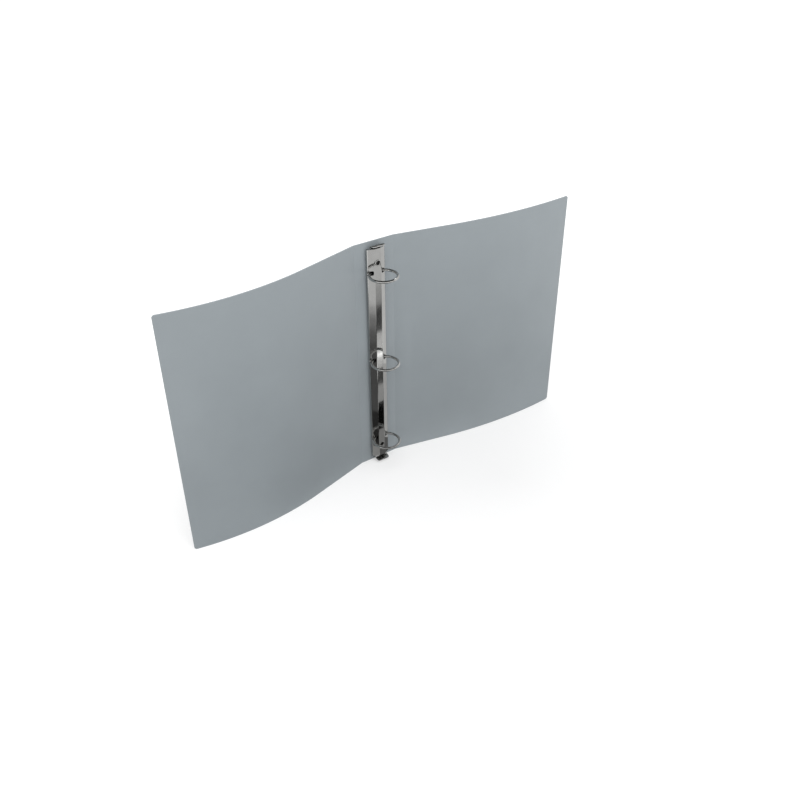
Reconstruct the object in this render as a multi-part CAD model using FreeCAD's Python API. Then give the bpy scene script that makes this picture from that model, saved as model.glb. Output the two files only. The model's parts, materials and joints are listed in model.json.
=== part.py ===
"""Three-ring binder, standing open: a one-sheet cover with two moulded hinges and a ring mechanism on its spine.

Millimetres. The origin is the middle of the spine's bottom edge. +Z runs up the spine, +Y points out of the
back of the spine and the rings stand out towards -Y, so the front cover is on the -X side.
Heights called "height" are measured from the inner face of the spine towards the rings.
"""

import FreeCAD, Part
import math
import os

Vector = FreeCAD.Vector
Z_AXIS = Vector(0, 0, 1)

# Cover sheet
COVER_HEIGHT = 284.0        # bottom edge to top edge
PANEL_WIDTH = 232.0         # hinge line to free edge, along the sheet
SPINE_WIDTH = 50.0          # hinge line to hinge line
SHEET = 1.4                 # thickness of the sheet
CORNER_RADIUS = 3.0         # free corners of the two covers
HINGE_WEB = 0.5             # sheet left at the bottom of a hinge groove, at the outer face
HINGE_HALF_WIDTH = 1.5      # hinge line to either edge of its groove
FRONT_REST_ANGLE = 15.0     # degrees that the front cover stands closed of flat, at its hinge
FRONT_STRAIGHT = 75.0       # flat run beside the hinge, before the sheet bows back
FRONT_BOW = 28.0            # degrees that the front cover bows back over the rest of its width
BACK_REST_ANGLE = 12.5      # degrees, as on the front
BACK_STRAIGHT = 68.0
BACK_BOW = 17.0             # degrees, as on the front

# Ring housing, a steel channel on two posts
HOUSING_LENGTH = 270.0
HOUSING_HALF_WIDTH = 11.3
HOUSING_STANDOFF = 1.2      # spine to the hems
HOUSING_SHOULDER = 2.6      # hem to the bend between side wall and slope
HOUSING_RISE = 6.1          # hem to the crown
CROWN_HALF_WIDTH = 4.0
CROWN_BEND = 2.0            # outer bend radius at the crown
SHOULDER_BEND = 1.5         # outer bend radius at the shoulder
HOUSING_STEEL = 0.8
HEM_WIDTH = 2.0             # inturned flange that carries the toggle plates
SLOT_INNER = 5.0            # leg slots run from here out to the side wall
SLOT_DEPTH = 0.8            # how far the slots notch the side wall below the shoulder
SLOT_CLEARANCE = 1.0        # leg slot beside the wire, along the spine
SLOT_ROUND = 1.2

# Toggle plates
PLATE = 0.8
BEAD_RADIUS = 0.6           # rolled outer edge, the pivot
BEAD_CLEARANCE = 0.15       # bead to the hem under it
BEAD_SIDE_CLEARANCE = 0.1   # bead to the side wall
CENTRE_GAP = 0.25           # from the middle to either plate
TOGGLE_DIP = 4.0            # degrees past flat when the rings are shut
TOGGLE_SWING = 14.0         # degrees from shut to open
POST_NOTCH_CLEARANCE = 0.9

# Rings
RING_PITCH = 107.95         # letter-size punching
RING_COUNT = 3
RING_WIRE = 3.0
RING_RADIUS = 15.2          # to the middle of the wire
RING_CENTRE_HEIGHT = 17.8
LEG_DISTANCE = 2.6          # pivot to the middle of a leg, along its plate
LEG_BEND = 2.0              # bend from leg to ring, to the middle of the wire
LEG_FIT = 0.02
STAKE_RADIUS = 1.7          # spread end of the leg under the plate
STAKE_THICKNESS = 0.6
TIP_GAP = 0.1               # between two shut tips
NIB_BASE_RADIUS = 0.9
NIB_END_RADIUS = 0.6
NIB_LENGTH = 1.2
SOCKET_CLEARANCE = 0.25

# Mounting posts, tubular, spread at both ends
POST_INSET = 16.0           # housing end to the post
POST_RADIUS = 3.4           # shoulder between spine and crown
SHANK_RADIUS = 2.9
SHANK_FIT = 0.05
POST_BORE_RADIUS = 2.4
POST_HEAD_RADIUS = 3.9      # rolled head on the back of the spine
POST_HEAD_THICKNESS = 0.6
POST_FLARE_RADIUS = 3.5     # rolled head on the crown
POST_FLARE_THICKNESS = 0.5

# Triggers
PIN_RADIUS = 0.9
PIN_FIT = 0.05
PIN_INSET = 3.0             # housing end to the pin
PIN_PROUD = 0.3             # pin end past its ear
EAR_INNER = 5.5             # middle to the inside of an ear
EAR_RADIUS = 1.9
EAR_FIT = 0.02
HUB_RADIUS = 1.9
HUB_END_CLEARANCE = 0.3
FORK_REACH = 7.5            # pin to the middle of the fork's grip
FORK_GRIP = 2.4             # length of the grip
FORK_GAP = 2.2              # between the fork's arms
FORK_ARM = 0.6
FORK_BASE = 0.8
FORK_HALF_WIDTH = 2.5
PLATE_END_CLEARANCE = 0.5   # plate end to the base of the fork
NECK_THICKNESS = 1.8
TAB_THICKNESS = 1.2
TAB_HALF_WIDTH = 8.0
TAB_RUN = 4.2               # pin to the start of the tab's bend
TAB_BEND = 3.0
TAB_LEAN = 75.0             # degrees that the tab turns up
TAB_RISE = 5.0
TAB_CORNER = 3.0
TAB_SHOULDER = 0.6          # housing end to the widening of the tab

CUT_PAST = 1.0              # how far a cut runs past the face that it opens

# Places worked out from the sizes above
INNER_FACE = -SHEET / 2
HINGE_X = SPINE_WIDTH / 2
HINGE_Y = SHEET / 2 - HINGE_WEB / 2
MIDDLE_Z = COVER_HEIGHT / 2
HOUSING_BOTTOM = MIDDLE_Z - HOUSING_LENGTH / 2
HOUSING_TOP = MIDDLE_Z + HOUSING_LENGTH / 2
SHOULDER_HEIGHT = HOUSING_STANDOFF + HOUSING_SHOULDER
CROWN_HEIGHT = HOUSING_STANDOFF + HOUSING_RISE
CROWN_UNDERSIDE = CROWN_HEIGHT - HOUSING_STEEL
PIVOT_X = HOUSING_HALF_WIDTH - HOUSING_STEEL - BEAD_SIDE_CLEARANCE - BEAD_RADIUS
PIVOT_HEIGHT = HOUSING_STANDOFF + HOUSING_STEEL + BEAD_RADIUS + BEAD_CLEARANCE
PLATE_REACH = PIVOT_X - CENTRE_GAP
RING_PLACES = [MIDDLE_Z + RING_PITCH * (i - (RING_COUNT - 1) / 2) for i in range(RING_COUNT)]
POST_PLACES = [HOUSING_BOTTOM + POST_INSET, HOUSING_TOP - POST_INSET]
PIN_Z = HOUSING_BOTTOM + PIN_INSET
FORK_NEAR = FORK_REACH - FORK_GRIP / 2
FORK_FAR = FORK_REACH + FORK_GRIP / 2
PLATE_BOTTOM = PIN_Z + FORK_NEAR + PLATE_END_CLEARANCE
PLATE_TOP = COVER_HEIGHT - PLATE_BOTTOM


def spot(x, height, z=0.0):
    """A point given by its height above the spine's inner face."""
    return Vector(x, INNER_FACE - height, z)


def turned(vector, degrees):
    """A vector in the XY plane, turned about Z."""
    angle = math.radians(degrees)
    c, s = math.cos(angle), math.sin(angle)
    return Vector(vector.x * c - vector.y * s, vector.x * s + vector.y * c, vector.z)


def arc(centre, start, end):
    """The shorter arc about a centre."""
    middle = (start - centre) + (end - centre)
    middle = centre + middle.normalize() * (start - centre).Length
    return Part.Arc(start, middle, end).toShape()


def line(start, end):
    return Part.LineSegment(start, end).toShape()


def outline(corners):
    """A closed face from (point, bend radius) corners, with tangent arcs at the bends."""
    count = len(corners)
    stops = []
    for i, (point, radius) in enumerate(corners):
        before = (corners[i - 1][0] - point).normalize()
        after = (corners[(i + 1) % count][0] - point).normalize()
        if radius == 0:
            stops.append((point, None, point))
            continue
        half = before.getAngle(after) / 2
        bisector = (before + after).normalize()
        centre = point + bisector * (radius / math.sin(half))
        reach = radius / math.tan(half)
        stops.append((point + before * reach, centre - bisector * radius, point + after * reach))
    edges = []
    for i, (enter, middle, leave) in enumerate(stops):
        if middle is not None:
            edges.append(Part.Arc(enter, middle, leave).toShape())
        following = stops[(i + 1) % count][0]
        if (following - leave).Length > 1e-6:
            edges.append(line(leave, following))
    return Part.Face(Part.Wire(edges))


def prism(face, bottom, top):
    solid = face.extrude(Z_AXIS * (top - bottom))
    solid.translate(Z_AXIS * bottom)
    return solid


def cylinder(radius, start, end):
    return Part.makeCylinder(radius, (end - start).Length, start, end - start)


def block(low, high):
    """A box between two corners."""
    return Part.makeBox(high.x - low.x, high.y - low.y, high.z - low.z, low)


def on_front_side(shape):
    """The mirror image of a piece, across the middle of the spine."""
    return shape.mirror(Vector(0, 0, 0), Vector(1, 0, 0))


def at_the_top(shape):
    """The mirror image of a piece, across the middle ring."""
    return shape.mirror(Vector(0, 0, MIDDLE_Z), Z_AXIS)


def cover_panel(rest_angle, straight, bow):
    """A cover on the back side: a flat run from the hinge groove, then an arc that bows away from the rings."""
    hinge = Vector(HINGE_X, HINGE_Y, 0)
    along = turned(Vector(1, 0, 0), -rest_angle)
    outward = turned(Vector(0, 1, 0), -rest_angle)
    bow_radius = (PANEL_WIDTH - straight) / math.radians(bow)
    centre = hinge + along * straight + outward * bow_radius
    outer, inner = HINGE_WEB / 2, HINGE_WEB / 2 - SHEET
    end_outward = turned(outward, bow)

    def rows(offset):
        edge = hinge + along * HINGE_HALF_WIDTH + outward * offset
        bend = hinge + along * straight + outward * offset
        free = centre - end_outward * (bow_radius - offset)
        return edge, bend, free

    inner_edge, inner_bend, inner_free = rows(inner)
    outer_edge, outer_bend, outer_free = rows(outer)
    section = Part.Face(Part.Wire([
        line(inner_edge, inner_bend),
        arc(centre, inner_bend, inner_free),
        line(inner_free, outer_free),
        arc(centre, outer_free, outer_bend),
        line(outer_bend, outer_edge),
        line(outer_edge, inner_edge),
    ]))
    panel = prism(section, 0, COVER_HEIGHT)
    free_middle = (inner_free + outer_free) / 2
    corners = []
    for edge in panel.Edges:
        middle = edge.CenterOfMass
        level = abs(middle.z) < 1e-3 or abs(middle.z - COVER_HEIGHT) < 1e-3
        if level and (Vector(middle.x, middle.y, 0) - free_middle).Length < 1e-3:
            corners.append(edge)
    return panel.makeFillet(CORNER_RADIUS, corners)


def hinge_web(rest_angle):
    """The thin strip left in a hinge groove, with its bend rounded about the hinge line, on the back side."""
    hinge = Vector(HINGE_X, HINGE_Y, 0)
    half = Vector(0, HINGE_WEB / 2, 0)
    spine_edge = hinge - Vector(HINGE_HALF_WIDTH, 0, 0)
    along = turned(Vector(HINGE_HALF_WIDTH, 0, 0), -rest_angle)
    across = turned(half, -rest_angle)
    spine_leaf = Part.Face(Part.makePolygon([
        spine_edge - half, hinge - half, hinge + half, spine_edge + half, spine_edge - half]))
    panel_leaf = Part.Face(Part.makePolygon([
        hinge - across, hinge + along - across, hinge + along + across, hinge + across, hinge - across]))
    core = Part.Face(Part.Wire(Part.makeCircle(HINGE_WEB / 2, hinge)))
    strips = [prism(face, 0, COVER_HEIGHT) for face in (spine_leaf, panel_leaf, core)]
    return strips[0].fuse(strips[1:]).removeSplitter()


def spine_panel():
    edge = HINGE_X - HINGE_HALF_WIDTH
    panel = block(Vector(-edge, -SHEET / 2, 0), Vector(edge, SHEET / 2, COVER_HEIGHT))
    for z in POST_PLACES:
        panel = panel.cut(cylinder(SHANK_RADIUS + SHANK_FIT, Vector(0, -SHEET, z), Vector(0, SHEET, z)))
    return panel


def leg_path():
    """The run of a back-side ring wire in plan: where its leg leaves the plate, where the leg's bend starts,
    the bend's centre, where the bend meets the ring, the ring's centre and where the ring ends."""
    dip = math.radians(TOGGLE_DIP)
    leg_way = Vector(-math.sin(dip), -math.cos(dip), 0)
    bend_way = Vector(math.cos(dip), -math.sin(dip), 0)
    seat = spot(PIVOT_X - LEG_DISTANCE * math.cos(dip), PIVOT_HEIGHT - LEG_DISTANCE * math.sin(dip))
    ring_centre = spot(0, RING_CENTRE_HEIGHT)
    # The bend's circle touches the ring's circle from outside, which sets how far the leg runs straight
    reach = seat + bend_way * LEG_BEND - ring_centre
    towards = -reach.dot(leg_way)
    run = towards - math.sqrt(towards ** 2 - reach.dot(reach) + (RING_RADIUS + LEG_BEND) ** 2)
    bend_start = seat + leg_way * run
    bend_centre = bend_start + bend_way * LEG_BEND
    meet = ring_centre + (bend_centre - ring_centre).normalize() * RING_RADIUS
    tip_x = TIP_GAP / 2
    tip = ring_centre + Vector(tip_x, -math.sqrt(RING_RADIUS ** 2 - tip_x ** 2), 0)
    return seat, leg_way, bend_start, bend_centre, meet, ring_centre, tip


def ring_wire(z):
    """A back-side half ring with its leg through the plate and the leg's end spread under it."""
    seat, leg_way, bend_start, bend_centre, meet, ring_centre, tip = leg_path()
    underside = seat - leg_way * (PLATE / 2)
    side = ring_centre + Vector(RING_RADIUS, 0, 0)
    path = Part.Wire([
        line(underside, bend_start),
        arc(bend_centre, bend_start, meet),
        arc(ring_centre, meet, side),
        arc(ring_centre, side, tip),
    ])
    profile = Part.Wire(Part.makeCircle(RING_WIRE / 2, underside, leg_way))
    wire = path.makePipeShell([profile], True, False)
    stake = cylinder(STAKE_RADIUS, underside - leg_way * STAKE_THICKNESS, underside)
    half = wire.fuse(stake).removeSplitter()
    half.translate(Z_AXIS * z)
    return half


def back_ring_half(z):
    """The half with the socket in its tip."""
    tip = leg_path()[-1] + Z_AXIS * z
    socket = cylinder(NIB_BASE_RADIUS + SOCKET_CLEARANCE, tip - Vector(TIP_GAP, 0, 0),
                      tip + Vector(NIB_LENGTH + SOCKET_CLEARANCE, 0, 0))
    return ring_wire(z).cut(socket)


def front_ring_half(z):
    """The half with the nib on its tip."""
    tip = leg_path()[-1] + Z_AXIS * z
    tip.x = -tip.x
    nib = Part.makeCone(NIB_BASE_RADIUS, NIB_END_RADIUS, NIB_LENGTH, tip, Vector(1, 0, 0))
    return on_front_side(ring_wire(z)).fuse(nib).removeSplitter()


def toggle_plate():
    """The back-side plate: a rolled bead in the housing's hem, and a blade that dips to the middle."""
    pivot = spot(PIVOT_X, PIVOT_HEIGHT)
    half = PLATE / 2
    blade = block(Vector(pivot.x - PLATE_REACH, pivot.y - half, PLATE_BOTTOM),
                  Vector(pivot.x, pivot.y + half, PLATE_TOP))
    bead = cylinder(BEAD_RADIUS, pivot + Z_AXIS * PLATE_BOTTOM, pivot + Z_AXIS * PLATE_TOP)
    plate = blade.fuse(bead).removeSplitter()
    plate.rotate(pivot, Z_AXIS, -TOGGLE_DIP)
    seat, leg_way = leg_path()[:2]
    for z in RING_PLACES:
        hole_end = seat + leg_way * PLATE + Z_AXIS * z
        plate = plate.cut(cylinder(RING_WIRE / 2 + LEG_FIT, hole_end - leg_way * (2 * PLATE), hole_end))
    for z in POST_PLACES:
        notch = cylinder(POST_RADIUS + POST_NOTCH_CLEARANCE, spot(0, 0, z), spot(0, CROWN_HEIGHT, z))
        plate = plate.cut(notch)
    return plate


def trigger_travel():
    """How far a trigger turns to carry the plates from shut to open, and the height of its pin."""
    shut, opened = math.radians(-TOGGLE_DIP), math.radians(TOGGLE_SWING - TOGGLE_DIP)
    side_reach = PIVOT_X - FORK_HALF_WIDTH

    def grip_height(angle):
        return PIVOT_HEIGHT + (PLATE_REACH + side_reach) / 2 * math.sin(angle)

    low, high = grip_height(shut), grip_height(opened)
    return 2 * math.degrees(math.asin((high - low) / 2 / FORK_REACH)), (low + high) / 2


TRIGGER_SWING, PIN_HEIGHT = trigger_travel()


def ring_housing():
    hem = HOUSING_STANDOFF
    shoulder, crown = SHOULDER_HEIGHT, CROWN_HEIGHT
    wide, narrow = HOUSING_HALF_WIDTH, CROWN_HALF_WIDTH
    outside = outline([
        (spot(wide, hem), 0), (spot(wide, shoulder), SHOULDER_BEND), (spot(narrow, crown), CROWN_BEND),
        (spot(-narrow, crown), CROWN_BEND), (spot(-wide, shoulder), SHOULDER_BEND), (spot(-wide, hem), 0)])
    inside = Part.Face(outside.OuterWire.makeOffset2D(-HOUSING_STEEL))
    housing = prism(outside, HOUSING_BOTTOM, HOUSING_TOP)
    housing = housing.cut(prism(inside, HOUSING_BOTTOM - CUT_PAST, HOUSING_TOP + CUT_PAST))
    mouth = wide - HEM_WIDTH
    housing = housing.cut(block(spot(-mouth, hem + 2 * HOUSING_STEEL, HOUSING_BOTTOM - CUT_PAST),
                                spot(mouth, hem - HOUSING_STEEL, HOUSING_TOP + CUT_PAST)))
    slot_half = RING_WIRE / 2 + SLOT_CLEARANCE
    for z in RING_PLACES:
        for side in (1, -1):
            slot = block(spot(SLOT_INNER, 2 * crown, z - slot_half),
                         spot(wide + CUT_PAST, shoulder - SLOT_DEPTH, z + slot_half))
            upright = [e for e in slot.Edges if abs(e.CenterOfMass.x - SLOT_INNER) < 1e-6
                       and abs(e.tangentAt(e.FirstParameter).y) > 0.9]
            slot = slot.makeFillet(SLOT_ROUND, upright)
            housing = housing.cut(slot if side > 0 else on_front_side(slot))
    for z in POST_PLACES:
        housing = housing.cut(cylinder(SHANK_RADIUS + SHANK_FIT, spot(0, 0, z), spot(0, 2 * crown, z)))
    for x in (EAR_INNER, -EAR_INNER - HOUSING_STEEL):
        ear = trigger_ear(x)
        housing = housing.fuse([ear, at_the_top(ear)])
    return housing.removeSplitter()


def trigger_ear(x):
    """A tab bent down from the slope to carry the lower trigger's pin, from x across one thickness of steel."""
    centre = spot(x, PIN_HEIGHT, PIN_Z)
    across = Vector(HOUSING_STEEL, 0, 0)
    farthest = max(abs(x), abs(x + HOUSING_STEEL))
    slope = (CROWN_HEIGHT - SHOULDER_HEIGHT) / (HOUSING_HALF_WIDTH - CROWN_HALF_WIDTH)
    root = SHOULDER_HEIGHT + (HOUSING_HALF_WIDTH - farthest) * slope - HOUSING_STEEL / 2
    stem = block(spot(x, root, PIN_Z - EAR_RADIUS), spot(x + HOUSING_STEEL, PIN_HEIGHT, PIN_Z + EAR_RADIUS))
    ear = stem.fuse(cylinder(EAR_RADIUS, centre, centre + across))
    return ear.cut(cylinder(PIN_RADIUS + EAR_FIT, centre - across, centre + across * 2))


def trigger():
    """The lower trigger: a hub on its pin, a fork that grips both plates and a turned-up finger tab."""
    hub_half = EAR_INNER - HUB_END_CLEARANCE

    def at(out, height, x=0.0):
        """A point by its distance from the pin towards the housing's end, and its height from the pin."""
        return spot(x, PIN_HEIGHT + height, PIN_Z - out)

    def slab(corners, half_width):
        face = Part.Face(Part.makePolygon([at(*c, -half_width) for c in corners + corners[:1]]))
        return face.extrude(Vector(2 * half_width, 0, 0))

    hub = cylinder(HUB_RADIUS, at(0, 0, -hub_half), at(0, 0, hub_half))
    base, end = FORK_NEAR, FORK_FAR
    neck_half, gap_half = NECK_THICKNESS / 2, FORK_GAP / 2
    arm = gap_half + FORK_ARM
    fork = slab([(0, -neck_half), (0, neck_half), (-base + FORK_BASE, neck_half), (-base + FORK_BASE, arm),
                 (-end, arm), (-end, gap_half), (-base, gap_half), (-base, -gap_half), (-end, -gap_half),
                 (-end, -arm), (-base + FORK_BASE, -arm), (-base + FORK_BASE, -neck_half)], FORK_HALF_WIDTH)

    lean = math.radians(TAB_LEAN)
    half = TAB_THICKNESS / 2
    turn = at(TAB_RUN, TAB_BEND, -TAB_HALF_WIDTH)
    along = Vector(0, -math.sin(lean), -math.cos(lean))
    away = Vector(0, math.cos(lean), -math.sin(lean))
    flat_way = Vector(0, 1, 0)

    def row(side):
        """The tab's face on one side: start, start of the bend, end of the bend and the tab's free edge."""
        start = at(0, -side, -TAB_HALF_WIDTH)
        bend = turn + flat_way * (TAB_BEND + side)
        rise = turn + away * (TAB_BEND + side)
        return start, bend, rise, rise + along * TAB_RISE

    under = row(half)
    over = row(-half)
    section = Part.Face(Part.Wire([
        line(under[0], under[1]), arc(turn, under[1], under[2]), line(under[2], under[3]),
        line(under[3], over[3]), line(over[3], over[2]), arc(turn, over[2], over[1]),
        line(over[1], over[0]), line(over[0], under[0])]))
    tab = section.extrude(Vector(2 * TAB_HALF_WIDTH, 0, 0))
    tips = [e for e in tab.Edges if abs(e.Length - TAB_THICKNESS) < 1e-6
            and e.CenterOfMass.y < (over[2].y + over[3].y) / 2]
    tab = tab.makeFillet(TAB_CORNER, tips)
    widening = PIN_INSET + TAB_SHOULDER
    reach = 2 * TAB_HALF_WIDTH
    for x in (hub_half, -hub_half - reach):
        tab = tab.cut(block(at(widening, reach, x), at(-reach, -reach, x + reach)))

    lever = hub.fuse([fork, tab]).removeSplitter()
    lever = lever.cut(cylinder(PIN_RADIUS + PIN_FIT, at(0, 0, -EAR_INNER), at(0, 0, EAR_INNER)))
    lever.rotate(at(0, 0), Vector(1, 0, 0), -TRIGGER_SWING / 2)
    return lever


def trigger_pin():
    reach = EAR_INNER + HOUSING_STEEL + PIN_PROUD
    return cylinder(PIN_RADIUS, spot(-reach, PIN_HEIGHT, PIN_Z), spot(reach, PIN_HEIGHT, PIN_Z))


def mounting_post(z):
    """A tubular post: rolled head on the back of the spine, shoulder under the crown, rolled flare on top."""
    def ring_corner(radius, height, bend=0.0):
        return spot(radius, height), bend

    spine_back = -SHEET
    head = spine_back - POST_HEAD_THICKNESS
    flare = CROWN_HEIGHT + POST_FLARE_THICKNESS
    head_bend, flare_bend = POST_HEAD_THICKNESS * 0.6, POST_FLARE_THICKNESS * 0.6
    section = outline([
        ring_corner(POST_BORE_RADIUS, head, head_bend), ring_corner(POST_HEAD_RADIUS, head, head_bend),
        ring_corner(POST_HEAD_RADIUS, spine_back), ring_corner(SHANK_RADIUS, spine_back),
        ring_corner(SHANK_RADIUS, 0), ring_corner(POST_RADIUS, 0),
        ring_corner(POST_RADIUS, CROWN_UNDERSIDE), ring_corner(SHANK_RADIUS, CROWN_UNDERSIDE),
        ring_corner(SHANK_RADIUS, CROWN_HEIGHT), ring_corner(POST_FLARE_RADIUS, CROWN_HEIGHT),
        ring_corner(POST_FLARE_RADIUS, flare, flare_bend), ring_corner(POST_BORE_RADIUS, flare, flare_bend)])
    post = section.revolve(Vector(0, 0, 0), Vector(0, 1, 0), 360)
    post.translate(Z_AXIS * z)
    return post


def pieces():
    """Every piece by name, in place with the binder standing open and its rings shut."""
    lower_trigger, lower_pin, plate = trigger(), trigger_pin(), toggle_plate()
    made = {
        "front_cover": on_front_side(cover_panel(FRONT_REST_ANGLE, FRONT_STRAIGHT, FRONT_BOW)),
        "back_cover": cover_panel(BACK_REST_ANGLE, BACK_STRAIGHT, BACK_BOW),
        "spine_panel": spine_panel(),
        "front_hinge_web": on_front_side(hinge_web(FRONT_REST_ANGLE)),
        "back_hinge_web": hinge_web(BACK_REST_ANGLE),
        "ring_housing": ring_housing(),
        "front_toggle_plate": on_front_side(plate),
        "back_toggle_plate": plate,
        "bottom_trigger": lower_trigger,
        "top_trigger": at_the_top(lower_trigger),
        "bottom_trigger_pin": lower_pin,
        "top_trigger_pin": at_the_top(lower_pin),
    }
    for place, z in zip(("bottom", "middle", "top"), RING_PLACES):
        made[f"front_ring_half_{place}"] = front_ring_half(z)
        made[f"back_ring_half_{place}"] = back_ring_half(z)
    for place, z in zip(("bottom", "top"), POST_PLACES):
        made[f"{place}_mounting_post"] = mounting_post(z)
    return made


def main():
    os.makedirs("parts", exist_ok=True)
    for name, shape in pieces().items():
        shape.exportStep(f"parts/{name}.step")
    print(f"trigger swing {TRIGGER_SWING:.4f} degrees, pin height {PIN_HEIGHT:.4f} mm")
    print(f"toggle pivot x {PIVOT_X:.4f} mm, height {PIVOT_HEIGHT:.4f} mm")


main()
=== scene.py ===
"""Looks of a ring binder that stands open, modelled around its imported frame.

Metres, in the frame's own axes: +Z runs up the spine, +Y points out of its back and the rings
stand out towards -Y, so the front cover is on the -X side. A value called side is 1 on the back
cover's side and -1 on the front cover's.
"""

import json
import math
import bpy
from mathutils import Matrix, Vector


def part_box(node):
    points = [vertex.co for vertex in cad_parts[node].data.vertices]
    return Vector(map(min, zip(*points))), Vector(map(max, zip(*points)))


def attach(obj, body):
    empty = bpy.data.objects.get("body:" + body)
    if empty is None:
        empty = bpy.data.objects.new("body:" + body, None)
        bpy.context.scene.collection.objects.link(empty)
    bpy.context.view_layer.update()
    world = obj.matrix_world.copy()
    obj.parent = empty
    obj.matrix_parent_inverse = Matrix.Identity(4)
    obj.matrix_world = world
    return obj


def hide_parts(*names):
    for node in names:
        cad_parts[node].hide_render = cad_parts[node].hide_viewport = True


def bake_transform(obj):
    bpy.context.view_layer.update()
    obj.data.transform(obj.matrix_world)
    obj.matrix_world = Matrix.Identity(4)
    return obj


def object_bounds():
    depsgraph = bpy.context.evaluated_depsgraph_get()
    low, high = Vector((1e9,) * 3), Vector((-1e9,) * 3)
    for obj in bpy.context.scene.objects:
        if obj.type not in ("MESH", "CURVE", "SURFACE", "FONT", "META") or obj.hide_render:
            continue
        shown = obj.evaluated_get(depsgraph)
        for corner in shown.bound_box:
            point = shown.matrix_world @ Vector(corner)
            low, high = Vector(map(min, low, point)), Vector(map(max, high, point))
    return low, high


bl_info = {
    "name": "Ring Binder",
    "version": (1, 0, 0),
    "blender": (4, 5, 0),
    "location": "3D View > Sidebar > Ring Binder",
    "description": "Models the sheet and the ring metal of an open binder and sets it in a studio",
    "category": "Object",
}

import bmesh
import bpy
from bpy.props import FloatProperty, FloatVectorProperty, PointerProperty
from mathutils import Matrix, Vector

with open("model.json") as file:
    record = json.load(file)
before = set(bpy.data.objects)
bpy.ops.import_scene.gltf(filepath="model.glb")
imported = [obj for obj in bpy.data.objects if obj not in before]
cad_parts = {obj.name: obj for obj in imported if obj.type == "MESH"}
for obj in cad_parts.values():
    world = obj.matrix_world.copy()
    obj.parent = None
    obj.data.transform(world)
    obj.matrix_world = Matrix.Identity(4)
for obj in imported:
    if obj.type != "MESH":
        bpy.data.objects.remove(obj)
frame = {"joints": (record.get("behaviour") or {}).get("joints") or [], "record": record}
CAD_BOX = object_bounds()

MM = 0.001
ACROSS, OUT, UP = Vector((1, 0, 0)), Vector((0, 1, 0)), Vector((0, 0, 1))

# Places and sizes that the frame gives
JOINTS = {joint["name"]: joint for joint in frame["joints"]}
MOUNTS = {mount["name"]: mount for mount in frame["record"]["mounts"]}
SPINE_LOW, SPINE_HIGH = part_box("spine_panel")
HOUSING_LOW, HOUSING_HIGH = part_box("ring_housing")
PIN_LOW, PIN_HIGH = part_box("bottom_trigger_pin")
PIN_RADIUS = (PIN_HIGH.z - PIN_LOW.z) / 2
HINGE = Vector(JOINTS["back_cover_hinge"]["pos_m"])
PLATE_PIVOT = Vector(JOINTS["back_ring_swing"]["pos_m"])
SHEET = SPINE_HIGH.y - SPINE_LOW.y
HEIGHT = SPINE_HIGH.z - SPINE_LOW.z
MIDDLE_Z = (SPINE_HIGH.z + SPINE_LOW.z) / 2
SPINE_EDGE = SPINE_HIGH.x
CREASE_HALF = HINGE.x - SPINE_EDGE

# A cover along its sheet, from the hinge line to the free edge
PANEL_WIDTH = 232 * MM

# Names of the two sides, of the rings from the bottom up, and of the pieces at the housing's ends
SIDES = {"back": 1, "front": -1}
RING_PLACES = ("bottom", "middle", "top")
END_PLACES = ("bottom", "top")

# The hammered foot of a ring's leg
STAKE_THICKNESS = 0.6 * MM
STAKE_RADIUS = 1.7 * MM
# A ring's tip: the chamfer, the socket, and the nib with its taper, its end's chamfer and crown
TIP_CHAMFER = 0.12 * MM
SOCKET_RADIUS, SOCKET_DEPTH = 1.15 * MM, 1.45 * MM
NIB_RADIUS, NIB_LENGTH, NIB_TAPER = 0.9 * MM, 1.1 * MM, 0.7
NIB_CHAMFER, NIB_CROWN = 0.15 * MM, 0.1 * MM
# How high a rolled lip is at its bore and its rim, as a share of its full height
LIP_RIM = 0.3
# The rounding of an ear's foot, as a share of half the ear's width
EAR_ROUND = 0.99
# The rounding of a pin's ends
PIN_ROUND = PIN_RADIUS / 4

# Steps in the round stretches, and sides of the round pieces
RIM_STEPS = 2
EDGE_STEPS = 3
SLOT_STEPS = 6
BEND_STEPS = 8
TAB_STEPS = 10
CREASE_STEPS = 12
BOW_STEPS = 28
RING_STEPS = 48
WIRE_SIDES = 28
POST_SIDES = 40
ROD_SIDES = 48

# Cutters pass the steel by this much, and drills for the posts are this long
CUT_PAST = 1 * MM
POST_DRILL = 4 * SHEET
# The stub of sheet that a hinge strip is swept from
STUB = 2 * MM

# Vertices this close are merged, and vertices or faces this close are at the place sought
MERGE = 0.001 * MM
NEAR = 0.1 * MM
# Vertices this close are in one row of a crease, and edges this close to a seam of the sheet stay sharp
IN_ROW = 0.02 * MM
SEAM = 0.05 * MM
# A face looks along a direction from the first of these on, and aside from it up to the second
FACING, ASIDE = 0.9, 0.1
# Edges sharper than this are rounded
SHARP = math.radians(60)
# Bends up to these angles are shaded smooth
SHEET_SMOOTH = math.radians(30)
STEEL_SMOOTH = math.radians(35)
ROUND_SMOOTH = math.radians(40)

# Finishes that follow the housing's plating: shares of its roughness, and shades of its colour
RING_DULL, PLATE_DULL = 0.75, 1.7
# The bore's shade of the plating colour is bare steel darkened by painted shade, for the dark inside of the
# deep hole
PLATE_SHADE, BORE_PAINTED_SHADE = 0.75, 0.12
# The bore's own roughness
BORE_ROUGHNESS = 0.5
# How far the sheet's roughness strays from its mean, and the plating's least and most as shares of it
SHEEN_SPREAD = 0.05
LEAST_DULL, MOST_DULL = 0.8, 1.3
# How the marks in the plating are stretched
ALONG_HOUSING, ROUND_WIRE = (1, 1, 0.02), (1, 1, 1)

# The studio: its white, the camera's sensor in millimetres, and the floor's clearance under the binder
WHITE = (1, 1, 1, 1)
SENSOR_WIDTH = 36
FLOOR_DROP = 0.1 * MM
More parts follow.
